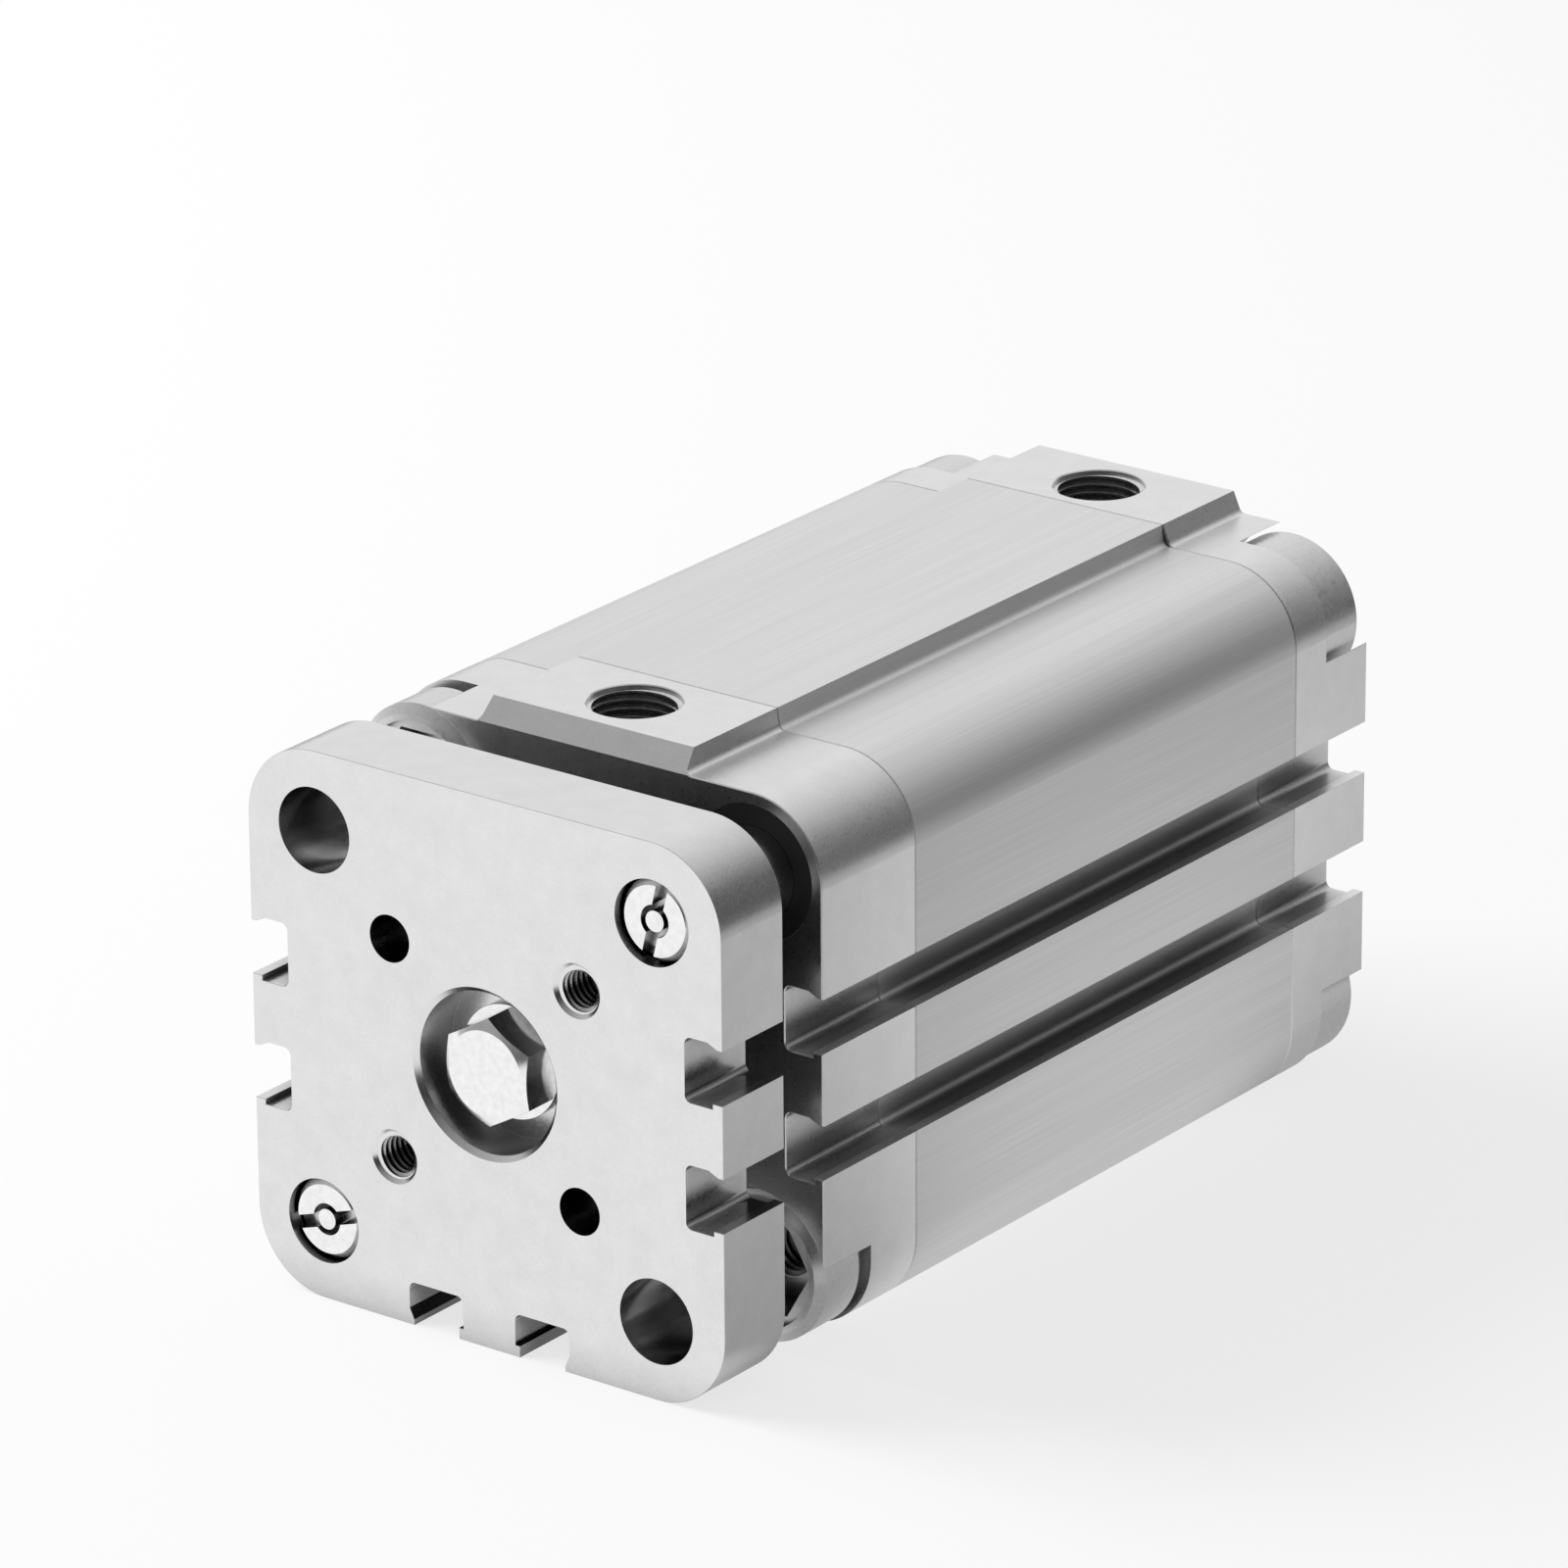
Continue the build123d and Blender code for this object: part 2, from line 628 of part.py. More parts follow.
guide_rods = []
for place, corner in guide_corners.items():
    with BuildPart() as guide_rod:
        rod_end = rear_collar_tip - guide_rod_end_gap
        turned(
            [
                (0, guide_rod_seat),
                (guide_radius, guide_rod_seat),
                (guide_radius, rod_end - guide_rod_chamfer),
                (guide_radius - guide_rod_chamfer, rod_end),
                (0, rod_end),
            ],
            corner,
        )
        thread_radius = guide_thread_diameter / 2 + seat_clearance
        bar([corner], thread_radius, guide_rod_seat, guide_rod_seat + guide_thread_depth, mode=Mode.SUBTRACT)
    guide_rod.part.label = f"guide_rod_{place}"
    with BuildPart() as guide_rod_screw:
        guide_screw(corner, driver_angles[place])
    guide_rod_screw.part.label = f"guide_rod_screw_{place}"
    guide_rods += [guide_rod, guide_rod_screw]

body_pieces = [barrel, bearing_cap, rear_cap, front_collar_screws, rear_collar_screws]
body_seals = [front_cap_oring, rear_cap_oring, front_cushion_ring, rear_cushion_ring, rod_bush, rod_seal]
yoke_pieces = [yoke_plate, yoke_bolt, yoke_washer, piston_rod, piston_nut, *guide_rods]
piston_pieces = [piston_front, piston_rear, piston_magnet, piston_wear_ring]
piston_seals = [piston_seal_front, piston_seal_rear, stud_oring]
os.makedirs("parts", exist_ok=True)
for piece in body_pieces + body_seals + guide_fittings + yoke_pieces + piston_pieces + piston_seals:
    export_step(piece.part, f"parts/{piece.part.label}.step")
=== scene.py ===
# %% [markdown]
# Guided pneumatic cylinder.
# The part is a compact air cylinder: a drawn aluminium barrel between two caps, with a square plate in
# front that its piston pushes out on two guide rods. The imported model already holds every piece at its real
# size, in metres, so this script loads it and never moves it. It adds the camera, the light, the finishes
# and the thread ridges that a plain hole lacks.

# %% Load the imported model
from math import cos, pi, radians, sin

import bmesh
import bpy
from mathutils import Matrix, Vector


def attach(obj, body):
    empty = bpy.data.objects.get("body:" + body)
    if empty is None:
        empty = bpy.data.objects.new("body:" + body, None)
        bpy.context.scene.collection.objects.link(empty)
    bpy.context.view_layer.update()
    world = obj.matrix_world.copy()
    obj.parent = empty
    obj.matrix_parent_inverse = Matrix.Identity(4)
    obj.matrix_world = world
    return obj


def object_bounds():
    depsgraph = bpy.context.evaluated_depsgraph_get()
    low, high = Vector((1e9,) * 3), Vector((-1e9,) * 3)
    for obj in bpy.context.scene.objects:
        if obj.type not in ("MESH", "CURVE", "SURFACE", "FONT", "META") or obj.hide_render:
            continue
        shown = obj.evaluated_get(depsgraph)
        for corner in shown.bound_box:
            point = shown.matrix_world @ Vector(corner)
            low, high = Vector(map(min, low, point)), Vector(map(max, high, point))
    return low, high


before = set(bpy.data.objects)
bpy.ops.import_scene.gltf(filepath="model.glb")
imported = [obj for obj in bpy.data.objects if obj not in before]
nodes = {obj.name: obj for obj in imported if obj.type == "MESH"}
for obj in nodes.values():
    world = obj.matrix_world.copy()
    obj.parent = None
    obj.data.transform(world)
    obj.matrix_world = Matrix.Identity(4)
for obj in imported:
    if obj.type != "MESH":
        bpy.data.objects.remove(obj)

scene = bpy.context.scene
cad_low, cad_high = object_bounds()
MM = 0.001
print("CAD nodes:", len(nodes), "size in mm:", [round(v / MM, 2) for v in cad_high - cad_low])

# %% [markdown]
# The photograph is a telephoto view: parallel edges of the cylinder hardly meet. Its camera was found by
# fitting corners and circles of known size, so it is written here as the turn round the object, the tilt, a
# small roll and the distance. The lens is long, 228 mm on a 36 mm sensor, because a shorter one would draw
# the front plate too large. The camera's axes are built from those angles and set as its matrix.

# %% Camera
AZIMUTH = radians(36.997)
ELEVATION = radians(21.030)
ROLL = radians(-0.412)
LENS = 227.904
DISTANCE = 974.921 * MM
ASIDE = 29.430 * MM
UPWARD = 28.571 * MM
CLIP_START = 50 * MM
PLATE_FRONT = cad_low.y

back = Vector((sin(AZIMUTH) * cos(ELEVATION), -cos(AZIMUTH) * cos(ELEVATION), sin(ELEVATION)))
level_right = Vector((cos(AZIMUTH), sin(AZIMUTH), 0))
level_up = back.cross(level_right)
right = level_right * cos(ROLL) + level_up * sin(ROLL)
up = level_up * cos(ROLL) - level_right * sin(ROLL)
camera_place = Vector((0, PLATE_FRONT, 0)) + right * ASIDE + up * UPWARD + back * DISTANCE

camera = bpy.data.objects.new("camera", bpy.data.cameras.new("camera"))
camera.data.lens = LENS
camera.data.clip_start = CLIP_START
turn = Matrix((right, up, back)).transposed()
camera.matrix_world = Matrix.Translation(camera_place) @ turn.to_4x4()
scene.collection.objects.link(camera)
scene.camera = camera
scene.view_settings.view_transform = "Standard"
print("camera at", [round(v, 4) for v in camera_place])

# %% [markdown]
# Materials are made of nodes. One function turns a hex colour, as a painter would pick it, into the linear
# numbers that light is worked out with, and one adds a node with its settings and links. In `links`, each key
# is an input of the new node, and each value is either a number or the output of an earlier node.

# %% Helpers for colours and nodes
def linear(hex_colour):
    """Linear RGBA of an sRGB hex colour."""
    channels = [int(hex_colour[i:i + 2], 16) / 255 for i in (1, 3, 5)]
    return [c / 12.92 if c <= 0.04045 else ((c + 0.055) / 1.055) ** 2.4 for c in channels] + [1.0]


def add_node(tree, kind, links=None, **settings):
    """Adds one node. Settings are its own properties, and links fill its inputs."""
    made = tree.nodes.new(kind)
    for name, value in settings.items():
        setattr(made, name, value)
    for key, value in (links or {}).items():
        if isinstance(value, bpy.types.NodeSocket):
            tree.links.new(value, made.inputs[key])
        else:
            made.inputs[key].default_value = value
    return made


def start_material(name):
    """A new material with an empty node tree."""
    material = bpy.data.materials.new(name)
    material.use_nodes = True
    material.node_tree.nodes.clear()
    return material, material.node_tree


print("white in linear numbers:", linear("#FFFFFF"))

# %% [markdown]
# Metal shows what is around it, so the room matters more than the lamps. On the left the room is bright all
# the way down, as beside a big soft window. On the right it is bright overhead and dark near the horizon, and
# that is what shades the rounded corners from light to dark. Towards the front it is dimmer, and straight
# behind there is a white backdrop, which only the matt barrel blurs into its side. A picture of a real studio
# could do this too, but a few soft steps along X, Y and Z need no picture and are easier to change. The
# numbers of the room's edges are the X, Y or Z of a direction of length 1.

# %% Walls of the room
LEFT_WALL = 0.90
RIGHT_AT_HORIZON = 0.11
RIGHT_OVERHEAD = 0.75
FRONT_SHARE = 0.38
RIGHT_EDGE = (0.23, 0.95)
SIDE_EDGE = (-0.5, 0.5)
BACKDROP_EDGE = (0.78, 0.95)
FRONT_EDGE = (-0.6, 0.3)

world = bpy.data.worlds.new("room")
scene.world = world
world.use_nodes = True
tree = world.node_tree
tree.nodes.clear()
direction = add_node(tree, "ShaderNodeTexCoord").outputs["Generated"]
axes = add_node(tree, "ShaderNodeSeparateXYZ", {"Vector": direction})
right_wall = add_node(
    tree, "ShaderNodeMapRange",
    {"Value": axes.outputs["Z"], "From Min": RIGHT_EDGE[0], "From Max": RIGHT_EDGE[1],
     "To Min": RIGHT_AT_HORIZON, "To Max": RIGHT_OVERHEAD},
    interpolation_type="SMOOTHSTEP",
)
rightness = add_node(
    tree, "ShaderNodeMapRange",
    {"Value": axes.outputs["X"], "From Min": SIDE_EDGE[0], "From Max": SIDE_EDGE[1]},
    interpolation_type="SMOOTHSTEP",
)
walls = add_node(
    tree, "ShaderNodeMix",
    {"Factor": rightness.outputs["Result"], "A": LEFT_WALL, "B": right_wall.outputs["Result"]},
)
backdrop = add_node(
    tree, "ShaderNodeMapRange",
    {"Value": axes.outputs["Y"], "From Min": BACKDROP_EDGE[0], "From Max": BACKDROP_EDGE[1]},
    interpolation_type="SMOOTHSTEP",
)
walls = add_node(
    tree, "ShaderNodeMath", {0: walls.outputs["Result"], 1: backdrop.outputs["Result"]},
    operation="MAXIMUM",
)
frontness = add_node(
    tree, "ShaderNodeMapRange",
    {"Value": axes.outputs["Y"], "From Min": FRONT_EDGE[0], "From Max": FRONT_EDGE[1],
     "To Min": FRONT_SHARE, "To Max": 1.0},
)
room_light = add_node(
    tree, "ShaderNodeMath", {0: walls.outputs[0], 1: frontness.outputs["Result"]}, operation="MULTIPLY",
)
print("nodes of the walls:", len(tree.nodes))

# %% [markdown]
# The camera and every reflection see those walls. What the room throws on matt surfaces is a second, plain
# background, so that the walls can be drawn for the metal alone and the soft light stays even. Light Path
# tells which kind of ray asks, and a Mix Shader picks the background for it.

# %% Room that is seen and room that lights
FILL_LIGHT = 0.35

room_look = add_node(tree, "ShaderNodeBackground", {"Color": room_light.outputs[0], "Strength": 1.0})
room_fill = add_node(tree, "ShaderNodeBackground", {"Color": linear("#FFFFFF"), "Strength": FILL_LIGHT})
rays = add_node(tree, "ShaderNodeLightPath")
seen = add_node(
    tree, "ShaderNodeMath", {0: rays.outputs["Is Camera Ray"], 1: rays.outputs["Is Glossy Ray"]},
    operation="MAXIMUM",
)
seen = add_node(
    tree, "ShaderNodeMath", {0: seen.outputs[0], 1: rays.outputs["Is Transmission Ray"]},
    operation="MAXIMUM",
)
mixed = add_node(
    tree, "ShaderNodeMixShader", {0: seen.outputs[0], 1: room_fill.outputs[0], 2: room_look.outputs[0]},
)
add_node(tree, "ShaderNodeOutputWorld", {"Surface": mixed.outputs[0]})
print("nodes of the room:", len(tree.nodes))

# %% [markdown]
# The floor is a plain sweep of white. One square face at the part's lowest point is enough, because it
# reaches past the edges of the view.

# %% Floor
FLOOR_SIZE = 8.0

bm = bmesh.new()
bmesh.ops.create_grid(bm, x_segments=1, y_segments=1, size=FLOOR_SIZE / 2)
bmesh.ops.translate(bm, verts=bm.verts, vec=(0, 0, cad_low.z))
floor_mesh = bpy.data.meshes.new("floor")
bm.to_mesh(floor_mesh)
bm.free()
floor = bpy.data.objects.new("floor", floor_mesh)
scene.collection.objects.link(floor)
print("floor at z in mm:", round(cad_low.z / MM, 2))

# %% [markdown]
# Metal mirrors the floor as a pool of light, painted into the floor's own light: full in front and on the
# left, weaker beside the right side, and fading further out. In the photograph the plate and the rear cap
# look darker than the barrel, so beside the part the pool has slanting strips of different strength, and each
# of the two mirrors a weaker one. Each strip's two numbers are metres from the part's origin, along the
# direction that is named with it, and the slanting strips' are counted along the Y axis.

# %% Painted pool of light that metal mirrors
POOL_BESIDE = 0.95
POOL_AT_PLATE = 0.52
POOL_AT_REAR = 0.66
POOL_FAR = 0.15
POOL_NEAR = 0.78
RIGHTWARD = (0.6, 0.8, 0.0)
SLANTWISE = (-1.326, 1.0, 0.0)
RIGHT_STRIP = (-0.075, -0.060)
PLATE_STRIP = (-0.131, -0.113)
REAR_STRIP = (-0.065, -0.045)
NEAR_STRIP = (0.04, 0.075)
FAR_STRIP = (0.10, 0.21)

floor_white, tree = start_material("matt white sweep")
spot = add_node(tree, "ShaderNodeTexCoord").outputs["Object"]
sideways = add_node(tree, "ShaderNodeSeparateXYZ", {"Vector": spot}).outputs["X"]
rightward = add_node(
    tree, "ShaderNodeVectorMath", {0: spot, 1: RIGHTWARD}, operation="DOT_PRODUCT",
).outputs["Value"]
slantwise = add_node(
    tree, "ShaderNodeVectorMath", {0: spot, 1: SLANTWISE}, operation="DOT_PRODUCT",
).outputs["Value"]
at_plate = add_node(
    tree, "ShaderNodeMapRange",
    {"Value": slantwise, "From Min": PLATE_STRIP[0], "From Max": PLATE_STRIP[1],
     "To Min": POOL_AT_PLATE, "To Max": POOL_BESIDE},
    interpolation_type="SMOOTHSTEP",
)
at_rear = add_node(
    tree, "ShaderNodeMapRange",
    {"Value": slantwise, "From Min": REAR_STRIP[0], "From Max": REAR_STRIP[1],
     "To Min": 1.0, "To Max": POOL_AT_REAR},
    interpolation_type="SMOOTHSTEP",
)
close_by = add_node(
    tree, "ShaderNodeMapRange",
    {"Value": sideways, "From Min": NEAR_STRIP[0], "From Max": NEAR_STRIP[1],
     "To Min": POOL_NEAR, "To Max": 1.0},
)
along = add_node(
    tree, "ShaderNodeMath", {0: at_plate.outputs["Result"], 1: at_rear.outputs["Result"]},
    operation="MULTIPLY",
)
along = add_node(
    tree, "ShaderNodeMath", {0: along.outputs[0], 1: close_by.outputs["Result"]}, operation="MULTIPLY",
)
beside = add_node(
    tree, "ShaderNodeMapRange",
    {"Value": rightward, "From Min": RIGHT_STRIP[0], "From Max": RIGHT_STRIP[1],
     "To Min": 1.0, "To Max": along.outputs[0]},
)
far = add_node(
    tree, "ShaderNodeMapRange",
    {"Value": sideways, "From Min": FAR_STRIP[0], "From Max": FAR_STRIP[1],
     "To Min": 1.0, "To Max": POOL_FAR},
    interpolation_type="SMOOTHSTEP",
)
pool = add_node(
    tree, "ShaderNodeMath", {0: beside.outputs["Result"], 1: far.outputs["Result"]}, operation="MULTIPLY",
)
print("nodes of the pool of light:", len(tree.nodes))

# %% [markdown]
# The paint of the floor is ordinary diffuse white, which keeps the object's soft shadow. Mixed with it is a
# share of light of the floor's own: 1 is white for the camera, so the background comes out white without
# more light on the object, and for metal it has the strength of the pool.

# %% Paint and own light of the floor
FLOOR_OWN_LIGHT = 0.75
FLOOR_IN_METAL = 0.90

rays = add_node(tree, "ShaderNodeLightPath")
mirrored = add_node(
    tree, "ShaderNodeMath", {0: rays.outputs["Is Glossy Ray"], 1: rays.outputs["Is Transmission Ray"]},
    operation="MAXIMUM",
)
mirrored = add_node(
    tree, "ShaderNodeMath", {0: mirrored.outputs[0], 1: FLOOR_IN_METAL}, operation="MULTIPLY",
)
share = add_node(
    tree, "ShaderNodeMath",
    {0: rays.outputs["Is Camera Ray"], 1: FLOOR_OWN_LIGHT, 2: mirrored.outputs[0]},
    operation="MULTIPLY_ADD",
)
strength = add_node(
    tree, "ShaderNodeMath", {0: pool.outputs[0], 1: rays.outputs["Is Camera Ray"]}, operation="MAXIMUM",
)
paint = add_node(tree, "ShaderNodeBsdfDiffuse", {"Color": linear("#F2F2F2")})
own_light = add_node(
    tree, "ShaderNodeEmission", {"Color": linear("#FFFFFF"), "Strength": strength.outputs[0]},
)
mixed = add_node(
    tree, "ShaderNodeMixShader", {0: share.outputs[0], 1: paint.outputs[0], 2: own_light.outputs[0]},
)
add_node(tree, "ShaderNodeOutputMaterial", {"Surface": mixed.outputs[0]})
floor_mesh.materials.append(floor_white)
print("finish of the floor:", floor_white.name)

# %% [markdown]
# One large softbox stands on the left and above, and its size makes the shadow soft. It is turned to face the
# middle of the part. Metal doesn't mirror it, because the room already gives the metal its highlights.

# %% Lamp
LAMP_OFFSET = Vector((-1.00, -0.35, 0.75))
LAMP_SIZE = 0.8
LAMP_WATTS = 20.0

lamp = bpy.data.lights.new("left softbox", "AREA")
lamp.size = LAMP_SIZE
lamp.energy = LAMP_WATTS
softbox = bpy.data.objects.new("left softbox", lamp)
softbox.location = (cad_low + cad_high) / 2 + LAMP_OFFSET
softbox.rotation_euler = (-LAMP_OFFSET).to_track_quat("-Z", "Y").to_euler()
softbox.visible_glossy = False
scene.collection.objects.link(softbox)
print("softbox at", [round(v, 3) for v in softbox.location])

# %% [markdown]
# Little light reaches the bottom of a hole, a slot or the gap behind the plate, and metal shows that as a
# dark grey. That shade is painted into the colour here: an ambient occlusion node measures how much of a
# spot's view is blocked within a distance, and the colour is multiplied by that. The gap is measured apart,
# because only there do other pieces matter.

# %% Painted shade in holes and slots
RECESS_SHADE = 0.13
BLOCKED = 0.18
OPEN = 0.72
SHADE_SAMPLES = 8


def painted_recess_shade(tree, colour, depth, except_bore=0.0, gap=0.0):
    """Paints shade into a colour in a piece's holes and slots, up to depth away. With a gap, its end faces
    also see other pieces within gap. With except_bore all its faces see them, but the floor of a bore of that
    radius round the axis gets no painted shade."""
    facing = add_node(tree, "ShaderNodeNewGeometry").outputs["Normal"]
    facing = add_node(tree, "ShaderNodeVectorMath", {0: facing}, operation="ABSOLUTE").outputs["Vector"]
    facing = add_node(tree, "ShaderNodeSeparateXYZ", {"Vector": facing}).outputs["Y"]
    openness = add_node(
        tree, "ShaderNodeAmbientOcclusion", {"Distance": depth},
        samples=SHADE_SAMPLES, only_local=not except_bore,
    ).outputs["AO"]
    if gap:
        around = add_node(tree, "ShaderNodeAmbientOcclusion", {"Distance": gap}, samples=SHADE_SAMPLES)
        openness = add_node(
            tree, "ShaderNodeMix", {"Factor": facing, "A": openness, "B": around.outputs["AO"]},
        ).outputs["Result"]
    light = add_node(
        tree, "ShaderNodeMapRange",
        {"Value": openness, "From Min": BLOCKED, "From Max": OPEN, "To Min": RECESS_SHADE, "To Max": 1.0},
        interpolation_type="SMOOTHSTEP",
    ).outputs["Result"]
    if except_bore:
        spot = add_node(tree, "ShaderNodeTexCoord").outputs["Object"]
        across = add_node(
            tree, "ShaderNodeVectorMath", {0: spot, 1: (1.0, 0.0, 1.0)}, operation="MULTIPLY",
        )
        radius = add_node(tree, "ShaderNodeVectorMath", {0: across.outputs["Vector"]}, operation="LENGTH")
        in_bore = add_node(
            tree, "ShaderNodeMath", {0: radius.outputs["Value"], 1: except_bore}, operation="LESS_THAN",
        )
        bore_floor = add_node(
            tree, "ShaderNodeMath", {0: in_bore.outputs[0], 1: facing}, operation="MULTIPLY",
        )
        light = add_node(
            tree, "ShaderNodeMath", {0: light, 1: bore_floor.outputs[0]}, operation="MAXIMUM",
        ).outputs[0]
    return add_node(
        tree, "ShaderNodeMix", {"Factor": 1.0, "A": colour, "B": light},
        data_type="RGBA", blend_type="MULTIPLY",
    )


print("darkest shade in a recess:", RECESS_SHADE)

# %% [markdown]
# The caps and the plate are aluminium that was milled, blasted with fine beads and clear anodised. Blasting
# leaves a matt, even grey with a grain of about a tenth of a millimetre. It is drawn at 0.3 mm here, because
# a finer one would vanish in the render. Nearly all values of a noise lie between 0.3 and 0.7, so that range
# is spread over the shades that the finish has. The bevel node rounds the light on every sharp edge, as the
# blasting does on the real one.

# %% Blasted and anodised aluminium
NOISE_LOW = 0.3
NOISE_HIGH = 0.7
EDGE_ROUNDING = 0.05 * MM
EDGE_SAMPLES = 4
GRAIN = 0.30 * MM
MOTTLE = 2.5 * MM
BLASTED_SHADES = (0.94, 1.04)
BLASTED_DULLNESS = (-0.04, 0.04)
BLASTED_DENTS = 0.02 * MM
BLASTED_RELIEF = 0.12


def blasted_aluminium(name, hex_colour, roughness, recess_depth, except_bore=0.0, gap=0.0):
    """Anodised aluminium with a fine blasted grain and painted shade in its holes, slots and gap."""
    material, tree = start_material(name)
    spot = add_node(tree, "ShaderNodeTexCoord").outputs["Object"]
    grain = add_node(tree, "ShaderNodeTexNoise", {"Vector": spot, "Scale": 1 / GRAIN, "Detail": 2.0})
    mottle = add_node(tree, "ShaderNodeTexNoise", {"Vector": spot, "Scale": 1 / MOTTLE, "Detail": 3.0})
    both = add_node(
        tree, "ShaderNodeMath", {0: grain.outputs["Fac"], 1: mottle.outputs["Fac"]}, operation="ADD",
    )
    shade = add_node(
        tree, "ShaderNodeMapRange",
        {"Value": both.outputs[0], "From Min": 2 * NOISE_LOW, "From Max": 2 * NOISE_HIGH,
         "To Min": BLASTED_SHADES[0], "To Max": BLASTED_SHADES[1]},
    )
    colour = add_node(
        tree, "ShaderNodeMix", {"Factor": 1.0, "A": linear(hex_colour), "B": shade.outputs["Result"]},
        data_type="RGBA", blend_type="MULTIPLY",
    )
    # Painted shade in the holes and slots, and with a gap also where other pieces block the light.
    colour = painted_recess_shade(tree, colour.outputs["Result"], recess_depth, except_bore, gap)
    dullness = add_node(
        tree, "ShaderNodeMapRange",
        {"Value": grain.outputs["Fac"], "From Min": NOISE_LOW, "From Max": NOISE_HIGH,
         "To Min": roughness + BLASTED_DULLNESS[0], "To Max": roughness + BLASTED_DULLNESS[1]},
    )
    rounded = add_node(tree, "ShaderNodeBevel", {"Radius": EDGE_ROUNDING}, samples=EDGE_SAMPLES)
    relief = add_node(
        tree, "ShaderNodeBump",
        {"Strength": BLASTED_RELIEF, "Distance": BLASTED_DENTS, "Height": grain.outputs["Fac"],
         "Normal": rounded.outputs["Normal"]},
    )
    surface = add_node(
        tree, "ShaderNodeBsdfPrincipled",
        {"Base Color": colour.outputs["Result"], "Metallic": 1.0, "Roughness": dullness.outputs["Result"],
         "Normal": relief.outputs["Normal"]},
    )
    add_node(tree, "ShaderNodeOutputMaterial", {"Surface": surface.outputs[0]})
    return material


plate_finish = blasted_aluminium(
    "plate, blasted and anodised aluminium", "#E4E4E4", roughness=0.22, recess_depth=10.0 * MM,
    except_bore=9.0 * MM,
)
cap_finish = blasted_aluminium(
    "cap, blasted and anodised aluminium", "#E9E9E9", roughness=0.31, recess_depth=12.0 * MM,
    gap=7.0 * MM,
)
print("finishes:", plate_finish.name, "/", cap_finish.name)

# %% [markdown]
# The barrel is drawn through a die before it is anodised. The die leaves fine lines along the axis, so light
# spreads across them and the rounded corner shades more softly than on the caps. The lines are noise that
# is stretched along Y, 0.15 mm apart and 25 mm long, and the same noise on a coarser scale makes broad bands.

# %% Drawn and anodised aluminium
LINE_SPACING = 0.15 * MM
LINE_LENGTH = 25.0 * MM
LINE_DEPTH = 0.01 * MM
LINE_RELIEF = 0.25
BAND_SCALE = 0.12
BAND_SHARE = 0.4
LINES_AND_BANDS = (0.4, 1.0)
DRAWN_SHADES = (0.92, 1.05)
DRAWN_ROUGHNESS = 0.48
SLOT_DEPTH = 14.0 * MM

barrel_finish, tree = start_material("drawn and anodised aluminium")
spot = add_node(tree, "ShaderNodeTexCoord").outputs["Object"]
stretched = add_node(
    tree, "ShaderNodeMapping",
    {"Vector": spot, "Scale": (1 / LINE_SPACING, 1 / LINE_LENGTH, 1 / LINE_SPACING)},
)
lines = add_node(
    tree, "ShaderNodeTexNoise", {"Vector": stretched.outputs["Vector"], "Scale": 1.0, "Detail": 2.0},
)
bands = add_node(
    tree, "ShaderNodeTexNoise", {"Vector": stretched.outputs["Vector"], "Scale": BAND_SCALE, "Detail": 2.0},
)
both = add_node(
    tree, "ShaderNodeMath", {0: bands.outputs["Fac"], 1: BAND_SHARE, 2: lines.outputs["Fac"]},
    operation="MULTIPLY_ADD",
)
shade = add_node(
    tree, "ShaderNodeMapRange",
    {"Value": both.outputs[0], "From Min": LINES_AND_BANDS[0], "From Max": LINES_AND_BANDS[1],
     "To Min": DRAWN_SHADES[0], "To Max": DRAWN_SHADES[1]},
)
colour = add_node(
    tree, "ShaderNodeMix", {"Factor": 1.0, "A": linear("#ECECEC"), "B": shade.outputs["Result"]},
    data_type="RGBA", blend_type="MULTIPLY",
)
# Painted shade in the barrel's slots.
colour = painted_recess_shade(tree, colour.outputs["Result"], SLOT_DEPTH)
rounded = add_node(tree, "ShaderNodeBevel", {"Radius": EDGE_ROUNDING}, samples=EDGE_SAMPLES)
relief = add_node(
    tree, "ShaderNodeBump",
    {"Strength": LINE_RELIEF, "Distance": LINE_DEPTH, "Height": lines.outputs["Fac"],
     "Normal": rounded.outputs["Normal"]},
)
surface = add_node(
    tree, "ShaderNodeBsdfPrincipled",
    {"Base Color": colour.outputs["Result"], "Metallic": 1.0, "Roughness": DRAWN_ROUGHNESS,
     "Normal": relief.outputs["Normal"]},
)
add_node(tree, "ShaderNodeOutputMaterial", {"Surface": surface.outputs[0]})
print("finish:", barrel_finish.name)

# %% [markdown]
# The screws are steel with a bright zinc plating. It is close to a mirror, with faint turning marks, so the
# screw heads flash white in the grey plate. The rods are steel too: the piston rod is rolled smooth, and the
# guide rods are ground. Real marks are finer than a tenth of a millimetre, and they are drawn 0.2 to 1 mm
# wide here, because they would vanish in the render otherwise. The piston and the bushes share the function,
# because only their colour, dullness and marks differ.

# %% Bright steel
STEEL_SHADES = (0.92, 1.04)
STEEL_DULLNESS = (-0.03, 0.04)


